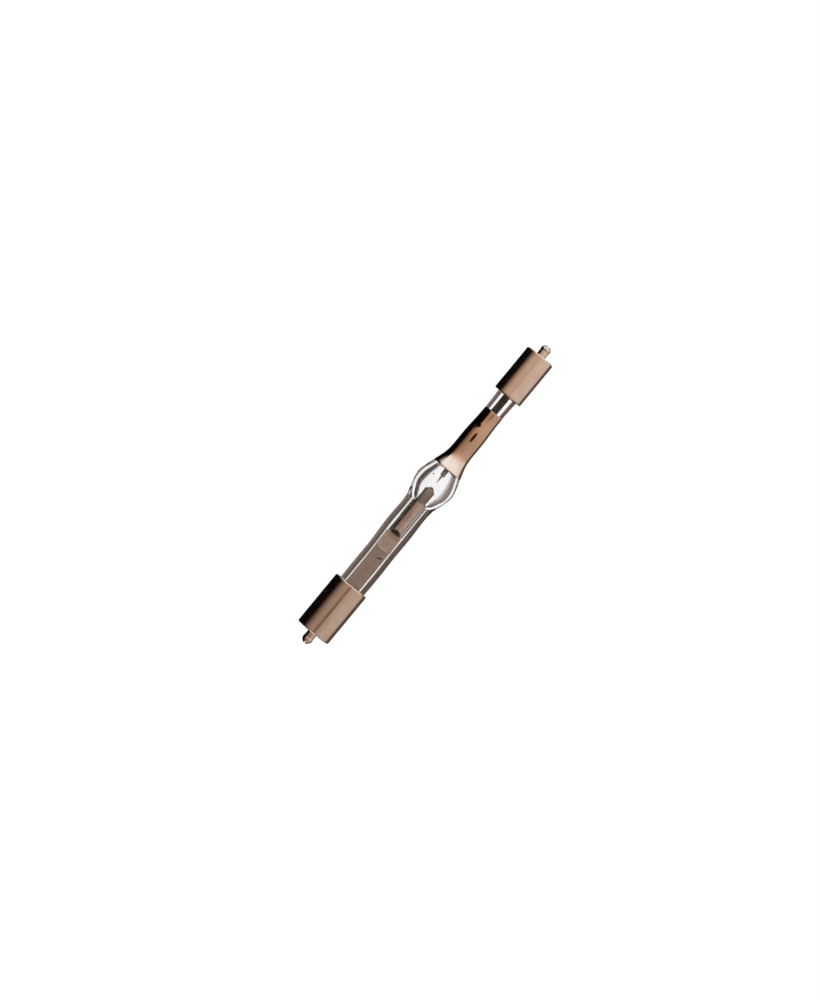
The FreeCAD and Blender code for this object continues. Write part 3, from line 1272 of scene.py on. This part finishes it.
@dataclass
class EndCap:
    """One cap with its terminal tube, the cement inside it and the bead on its terminal.

    Depths are measured from the cap's outer face into the lamp.
    """

    end: LampEnd
    stem_radius: float
    terminal: Terminal
    cap_look: Look
    cement_look: Look
    bead_look: Look
    cement: float = 0.3
    cement_overlap: float = 0.01
    cement_recess: float = 0.35
    floor: float = 1.6
    stem_end: float = 2.4
    stem_rounding: float = 0.7
    bevel: float = 0.2
    mouth_bevel: float = 0.12
    edge_rounding: float = 0.05
    shading_margin: float = 0.12
    lead_clearance: float = 0.05
    bead_bulge: float = 0.1
    bead_overlap: float = 0.28
    bead_taper: Point = (0.72, 0.68)
    bead_spacing: float = 0.06
    bead_steps: int = 96

    def __post_init__(self) -> None:
        """Reads the cap's outer face, its length and the radius of its lead from the frame."""
        box = NodeBox.of(f"{self.end.value}_cap")
        self.outer_radius = box.radius
        self.length = box.high.z - box.low.z - self.terminal.length
        if self.end is LampEnd.ANODE:
            self.face_height = box.low.z + self.terminal.length
        else:
            self.face_height = box.high.z - self.terminal.length
        self.lead_radius = NodeBox.of(f"{self.end.value}_lead").radius

    def height(self, depth: float) -> float:
        """The height of a depth on the lamp."""
        inward = 1 if self.end is LampEnd.ANODE else -1
        return self.face_height + inward * depth

    def placed(self, outline: Outline) -> Outline:
        """An outline of radius and depth as one of radius and height."""
        return [(radius, self.height(depth)) for radius, depth in outline]

    def build(self) -> None:
        """Makes the cap, its cement and its bead."""
        self.build_cap()
        self.build_cement()
        self.build_bead()

    def build_cap(self) -> None:
        """Makes the turned cap with its terminal tube."""
        node = f"{self.end.value}_cap"
        outer = self.outer_radius
        bore = self.stem_radius + self.cement
        tube_bore = self.lead_radius + self.lead_clearance
        shape = turned(self.placed([
            (tube_bore, -self.terminal.length),
            (self.terminal.radius, -self.terminal.length),
            (self.terminal.radius, self.shading_margin - self.terminal.length),
            (self.terminal.radius, -self.shading_margin),
            (self.terminal.radius, 0.0),
            (outer - self.bevel, 0.0),
            (outer, self.bevel),
            (outer, self.length - self.bevel),
            (outer - self.bevel, self.length),
            (bore + self.mouth_bevel, self.length),
            (bore, self.length - self.mouth_bevel),
            (bore, self.floor),
            (tube_bore, self.floor),
        ]), closed=True)
        soften(shape, self.edge_rounding, segments=2)
        add_piece(shape, f"{node}_turned", self.cap_look, node)

    def build_cement(self) -> None:
        """Makes the cement between the cap and the stem."""
        node = f"{self.end.value}_cement"
        bore = self.stem_radius + self.cement
        top = self.length - self.cement_recess
        under = self.stem_end
        rounded = quarter_round(
            (self.stem_radius - self.stem_rounding, under),
            (self.stem_radius, under + self.stem_rounding),
        )
        outline = [(self.lead_radius, self.floor), (bore, self.floor), (bore, top)]
        outline += [(self.stem_radius - self.cement_overlap, top)]
        outline += rounded[::-1] + [(self.lead_radius, under)]
        shape = turned(self.placed(outline), closed=True)
        STEM_LEAN.apply(shape, reach=self.stem_radius + self.cement / 2)
        add_piece(shape, f"{node}_fill", self.cement_look, node)

    def build_bead(self) -> None:
        """Makes the solder bead that closes the terminal tube."""
        node = f"{self.end.value}_bead"
        box = NodeBox.of(node)
        tip_height = box.low.z if self.end is LampEnd.ANODE else box.high.z
        tip = abs(tip_height - self.face_height)
        tube_end = self.terminal.length
        widest = self.terminal.radius + self.bead_bulge
        narrowed, onwards = self.bead_taper
        side = [
            (self.terminal.radius, -(tube_end - self.bead_overlap)),
            (widest, -(tube_end + self.bead_bulge)),
            (widest * narrowed, -(tube_end + (tip - tube_end) * onwards)),
            (0.0, -tip),
        ]
        across = [(-radius, depth) for radius, depth in side[-2::-1]]
        skin = smooth_curve(side + across, self.bead_spacing)
        half = [p for p in skin[: len(skin) // 2 + 1] if p[0] > MERGE_DISTANCE]
        outline = [(0.0, side[0][1])] + half + [side[-1]]
        shape = turned(self.placed(outline), steps=self.bead_steps)
        add_piece(shape, f"{node}_drop", self.bead_look, node)


@dataclass
class MercuryCharge:
    """The droplets of mercury that rest on the chamber's wall."""

    look: Look
    count: int = 3

    def build(self) -> None:
        """Makes each droplet where the frame has it."""
        for number in range(1, self.count + 1):
            node = f"mercury_drop_{number}"
            box = NodeBox.of(node)
            shape = bmesh.new()
            bmesh.ops.create_icosphere(shape, subdivisions=4, radius=box.radius)
            bmesh.ops.translate(shape, vec=(box.low + box.high) / 2, verts=shape.verts[:])
            CHAMBER_LEAN.apply(shape)
            add_piece(shape, f"mercury_bead_{number}", self.look, node)


WHITE = (1.0, 1.0, 1.0)
FLOOR_HEIGHT = -70.0
CARD_FOOT = FLOOR_HEIGHT + 0.5


@dataclass(frozen=True)
class Tone:
    """A card's colour at its foot and at its full height."""

    low: Colour
    high: Colour


def even(colour: Colour) -> Tone:
    """One colour at every height."""
    return Tone(colour, colour)


class SeenBy(Enum):
    """What a studio card shows itself in: bare metal, what is seen through the quartz, or both."""

    METAL = "metal"
    QUARTZ = "quartz"
    BOTH = "both"


@dataclass(frozen=True)
class StudioCard:
    """A card that stands round the lamp, from one bearing to another.

    A bearing is in degrees about the lamp's axis: 0 is towards the camera, and 90 towards +X.
    The high colours are reached at the height full, and between haze and top they pale to white.
    Without a bottom the card runs in along the floor to the inner radius.
    """

    name: str
    start: float
    end: float
    first: Tone
    last: Tone
    seen_by: SeenBy = SeenBy.BOTH
    full: float = 230.0
    haze: float = 270.0
    top: float = 530.0
    bottom: float | None = None
    distance: float = 600.0
    inner: float = 15.0
    rows: int = 5
    facet: float = 3.0
    least_facets: int = 4

    def material(self) -> Look:
        """A glow whose colour runs across and up the card.

        Returns:
            The material.
        """
        material, bench = new_material(self.name)
        spread = bench.node("ShaderNodeUVMap", {"uv_map": "spread"}).outputs[0]
        across, height, _ = bench.parts(spread)
        low = bench.mix(across, self.first.low, self.last.low)
        high = bench.mix(across, self.first.high, self.last.high)
        rise = (height - CARD_FOOT) / (self.full - CARD_FOOT)
        shade = bench.mix(bench.ramp(height, self.haze, self.top), bench.mix(rise, low, high), WHITE)
        glow = bench.node("ShaderNodeEmission", None, {"Color": shade}).outputs[0]
        bench.output("ShaderNodeOutputMaterial", glow)
        material.cycles.emission_sampling = "NONE"
        return material

    def build(self) -> None:
        """Makes the card: an upright wall, which a strip on the floor may lead to."""
        foot = CARD_FOOT if self.bottom is None else self.bottom
        profile = [(self.distance, float(height)) for height in np.linspace(foot, self.top, self.rows)]
        if self.bottom is None:
            profile.insert(0, (self.inner, foot))
        shape = bmesh.new()
        bearing = math.radians(self.start)
        verts = [shape.verts.new((r * math.sin(bearing), -r * math.cos(bearing), z)) for r, z in profile]
        edges = [shape.edges.new(pair) for pair in zip(verts, verts[1:])]
        sweep = self.end - self.start
        bmesh.ops.spin(
            shape,
            geom=verts + edges,
            cent=ORIGIN,
            axis=AXIS,
            dvec=ORIGIN,
            angle=math.radians(sweep),
            steps=max(self.least_facets, round(sweep / self.facet)),
            use_merge=False,
            use_duplicate=False,
        )
        uv = shape.loops.layers.uv.new("spread")
        middle = math.radians((self.start + self.end) / 2)
        for face in shape.faces:
            for loop in face.loops:
                x, y, z = loop.vert.co
                turn = math.atan2(x, -y) - middle
                turn = math.degrees(math.atan2(math.sin(turn), math.cos(turn)))
                loop[uv].uv = (turn / sweep + 0.5, z)
        card = mesh_object(shape, self.name, self.material())
        card.visible_camera = False
        card.visible_diffuse = False
        card.visible_shadow = False
        card.visible_glossy = self.seen_by is not SeenBy.QUARTZ
        card.visible_transmission = self.seen_by is not SeenBy.METAL


LIT = even(WHITE)
BLACK = even((0.004, 0.003, 0.003))
SOOT = Tone((0.012, 0.007, 0.005), (0.05, 0.03, 0.018))
TAN = Tone((0.27, 0.19, 0.15), (0.74, 0.52, 0.39))
CREAM = Tone((0.33, 0.23, 0.18), (0.86, 0.67, 0.56))
PALE = Tone((0.49, 0.40, 0.35), (0.84, 0.69, 0.63))
OLIVE_DARK = even((0.06, 0.035, 0.015))
OLIVE_LIGHT = even((0.38, 0.27, 0.20))
DUSK = even((0.09, 0.065, 0.055))
REAR_DARK = even((0.045, 0.03, 0.024))
REAR_BROWN = even((0.09, 0.06, 0.048))
REAR_GREY = even((0.29, 0.235, 0.215))
REAR_DIM = even((0.08, 0.06, 0.05))

TALL = {"haze": 1190.0, "top": 1200.0}

LINE_BEARING = 3.0
LINE_REACH = 11.0
LINE_DISTANCE = 590.0
LINE_FADE = 0.1


def middle_line(name: str, bottom: float, top: float, dark: Tone) -> tuple[StudioCard, StudioCard]:
    """A narrow dark stripe in front of the studio's cards, which fades out to both sides.

    Args:
        name: the stripe's name.
        bottom: the height of its lower end.
        top: the height of its upper end.
        dark: the tone of its middle.

    Returns:
        Its left and its right half.
    """
    share = ((bottom + top) / 2 - CARD_FOOT) / (StudioCard.full - CARD_FOOT)
    side = even(tuple(low + (high - low) * share for low, high in zip(CREAM.low, CREAM.high)))
    ends = {"haze": top, "top": top + LINE_FADE, "bottom": bottom, "distance": LINE_DISTANCE}
    start, end = LINE_BEARING - LINE_REACH, LINE_BEARING + LINE_REACH
    left = StudioCard(f"{name}_left", start, LINE_BEARING, side, dark, **ends)
    right = StudioCard(f"{name}_right", LINE_BEARING, end, dark, side, **ends)
    return left, right


CARDS = (
    StudioCard("metal_side_black", -112, -70, BLACK, BLACK, SeenBy.METAL, haze=304, top=480),
    StudioCard("quartz_side_black", -112, -70, BLACK, BLACK, SeenBy.QUARTZ, **TALL),
    StudioCard("front_fade", -70, -34, SOOT, TAN, haze=210, top=420),
    StudioCard("front_tan", -34, 0, TAN, CREAM),
    StudioCard("front_cream", 0, 50, CREAM, PALE),
    StudioCard("side_pale", 50, 104, PALE, PALE),
    *middle_line("low_line", -69, 30, OLIVE_DARK),
    *middle_line("high_line", 98, 130, OLIVE_LIGHT),
    StudioCard("metal_black", -170, -112, BLACK, BLACK, SeenBy.METAL, **TALL),
    StudioCard("metal_fade", 104, 120, PALE, DUSK, SeenBy.METAL),
    StudioCard("metal_dusk", 120, 168, DUSK, DUSK, SeenBy.METAL, **TALL),
    StudioCard("rear_rim_left", -156, -151, LIT, REAR_BROWN, SeenBy.QUARTZ, **TALL),
    StudioCard("rear_brown", -151, -112, REAR_BROWN, REAR_DARK, SeenBy.QUARTZ, **TALL),
    StudioCard("rear_grey", 104, 151, REAR_GREY, REAR_DIM, SeenBy.QUARTZ, **TALL),
    StudioCard("rear_rim_right", 151, 157, REAR_DIM, LIT, SeenBy.QUARTZ, **TALL),
)


@dataclass
class Studio:
    """The white studio: floor, world, soft lamp, cards and camera."""

    floor_radius: float = 1500.0
    floor_facets: int = 96
    floor_colour: Colour = (0.86, 0.86, 0.86)
    mottle_size: float = 60.0
    mottle_level: float = 0.97
    floor_glow: float = 0.5
    soft_level: float = 0.6
    lamp_size: float = 600.0
    lamp_power: float = 4.0
    lamp_colour: Colour = (1.0, 0.96, 0.91)
    lamp_place: Place = (-350.0, -550.0, 750.0)
    lamp_aim: float = 40.0
    camera_distance: float = 700.0
    sensor_width: float = 36.0
    clip_start: float = 10.0
    lens: float = 107.6
    roll: float = 39.53
    aside: float = 3.81
    below: float = 1.22

    def build(self) -> None:
        """Sets up everything round the lamp."""
        self.build_world()
        self.build_floor()
        for card in CARDS:
            card.build()
        self.build_lamp()
        self.build_camera()

    def build_world(self) -> None:
        """White to whatever looks at it, and a soft level of light on the lamp."""
        world = bpy.data.worlds.new("studio")
        world.use_nodes = True
        bpy.context.scene.world = world
        bench = NodeBench(world.node_tree)
        white = bench.node("ShaderNodeBackground", None, {"Strength": 1.0}).outputs[0]
        soft = bench.node("ShaderNodeBackground", None, {"Strength": self.soft_level}).outputs[0]
        for shade in (white, soft):
            shade.node.inputs["Color"].default_value = rgba(WHITE)
        bench.output("ShaderNodeOutputWorld", bench.blend(self.looked_at(bench), soft, white))
        world.cycles.sampling_method = "NONE"

    def looked_at(self, bench: NodeBench) -> Signal:
        """Tells rays that show a background to the camera, straight or by metal and glass.

        Args:
            bench: the bench of the world or the material.

        Returns:
            1 for such a ray, 0 for any other.
        """
        path = bench.node("ShaderNodeLightPath")
        kinds = ("Camera", "Glossy", "Transmission")
        camera, glossy, through = (Signal(bench, path.outputs[f"Is {kind} Ray"]) for kind in kinds)
        return camera.math("MAXIMUM", glossy).math("MAXIMUM", through)

    def build_floor(self) -> None:
        """A wide pale floor that keeps the lamp's soft shadow."""
        material, bench = new_material("studio_floor")
        where = bench.place()
        mottle = bench.noise(where, self.mottle_size, detail=2.0)
        shade = tuple(part * self.mottle_level for part in self.floor_colour)
        matte = bench.shader({
            "Base Color": bench.mix(mottle, self.floor_colour, shade),
            "Roughness": 0.85,
            "Specular IOR Level": 0.2,
        })
        glow = bench.node("ShaderNodeEmission", None, {"Strength": self.floor_glow}).outputs[0]
        lit = bench.node("ShaderNodeAddShader", None, {0: matte, 1: glow}).outputs[0]
        bench.output("ShaderNodeOutputMaterial", bench.blend(self.looked_at(bench), matte, lit))
        material.cycles.emission_sampling = "NONE"
        shape = bmesh.new()
        bmesh.ops.create_circle(
            shape, cap_ends=True, radius=self.floor_radius, segments=self.floor_facets
        )
        bmesh.ops.translate(shape, vec=(0.0, 0.0, FLOOR_HEIGHT), verts=shape.verts[:])
        mesh_object(shape, "floor", material)

    def build_lamp(self) -> None:
        """One large soft lamp above and in front, to the left."""
        light = bpy.data.lights.new("soft_lamp", "AREA")
        light.size = self.lamp_size * MM
        light.energy = self.lamp_power
        light.color = self.lamp_colour
        lamp = bpy.data.objects.new("soft_lamp", light)
        bpy.context.scene.collection.objects.link(lamp)
        place = Vector(self.lamp_place)
        lamp.location = place * MM
        aim = Vector((0.0, 0.0, self.lamp_aim)) - place
        lamp.rotation_euler = aim.to_track_quat("-Z", "Y").to_euler()
        lamp.visible_camera = False
        lamp.visible_glossy = False

    def build_camera(self) -> None:
        """The camera level with the lamp's middle, rolled as in the photograph."""
        data = bpy.data.cameras.new("camera")
        data.lens = self.lens
        data.sensor_width = self.sensor_width
        data.clip_start = self.clip_start * MM
        camera = bpy.data.objects.new("camera", data)
        bpy.context.scene.collection.objects.link(camera)
        bpy.context.scene.camera = camera
        roll = math.radians(self.roll)
        right = Vector((math.cos(roll), 0.0, math.sin(roll)))
        up = Vector((-math.sin(roll), 0.0, math.cos(roll)))
        back = Vector((0.0, -1.0, 0.0))
        low, high = NodeBox.of("anode_bead").low.z, NodeBox.of("cathode_bead").high.z
        aim = Vector((0.0, 0.0, (low + high) / 2)) - right * self.aside - up * self.below
        place = (aim + back * self.camera_distance) * MM
        turn = Matrix((right, up, back)).transposed().to_4x4()
        camera.matrix_world = Matrix.Translation(place) @ turn
        bpy.context.scene.view_settings.view_transform = "Standard"


def build_lamp_pieces() -> None:
    """Builds each sub-assembly of the lamp in turn."""
    foil, wire = MOLYBDENUM.material(), WIRE_TUNGSTEN.material()
    quartz = QuartzEnvelope(QuartzFinish().material())
    cap_looks = CAP_METAL.material(), CementFinish().material(), SOLDER.material()
    anode_tube = Terminal(radius=1.2, length=1.65)
    cathode_tube = Terminal(radius=1.15, length=1.9)
    parts = [
        quartz,
        HeatFilm(FILM_METAL.material(), quartz),
        Electrodes(TUNGSTEN.material(), wire),
        SealedFoils(foil, SHADED_FOIL.material(), PLATE_METAL.material(), foil),
        EndCap(LampEnd.ANODE, quartz.anode_stem_radius, anode_tube, *cap_looks),
        EndCap(LampEnd.CATHODE, quartz.cathode_stem_radius, cathode_tube, *cap_looks),
        MercuryCharge(MERCURY.material()),
    ]
    for part in parts:
        part.build()
        LOG.info("%s is built", type(part).__name__)


def main() -> None:
    """Loads the frame, dresses the lamp in it and sets up the studio."""
    logging.basicConfig(level=logging.INFO, format="%(name)s: %(message)s")
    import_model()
    build_lamp_pieces()
    Studio().build()
    bpy.context.view_layer.update()


if __name__ == "__main__":
    main()
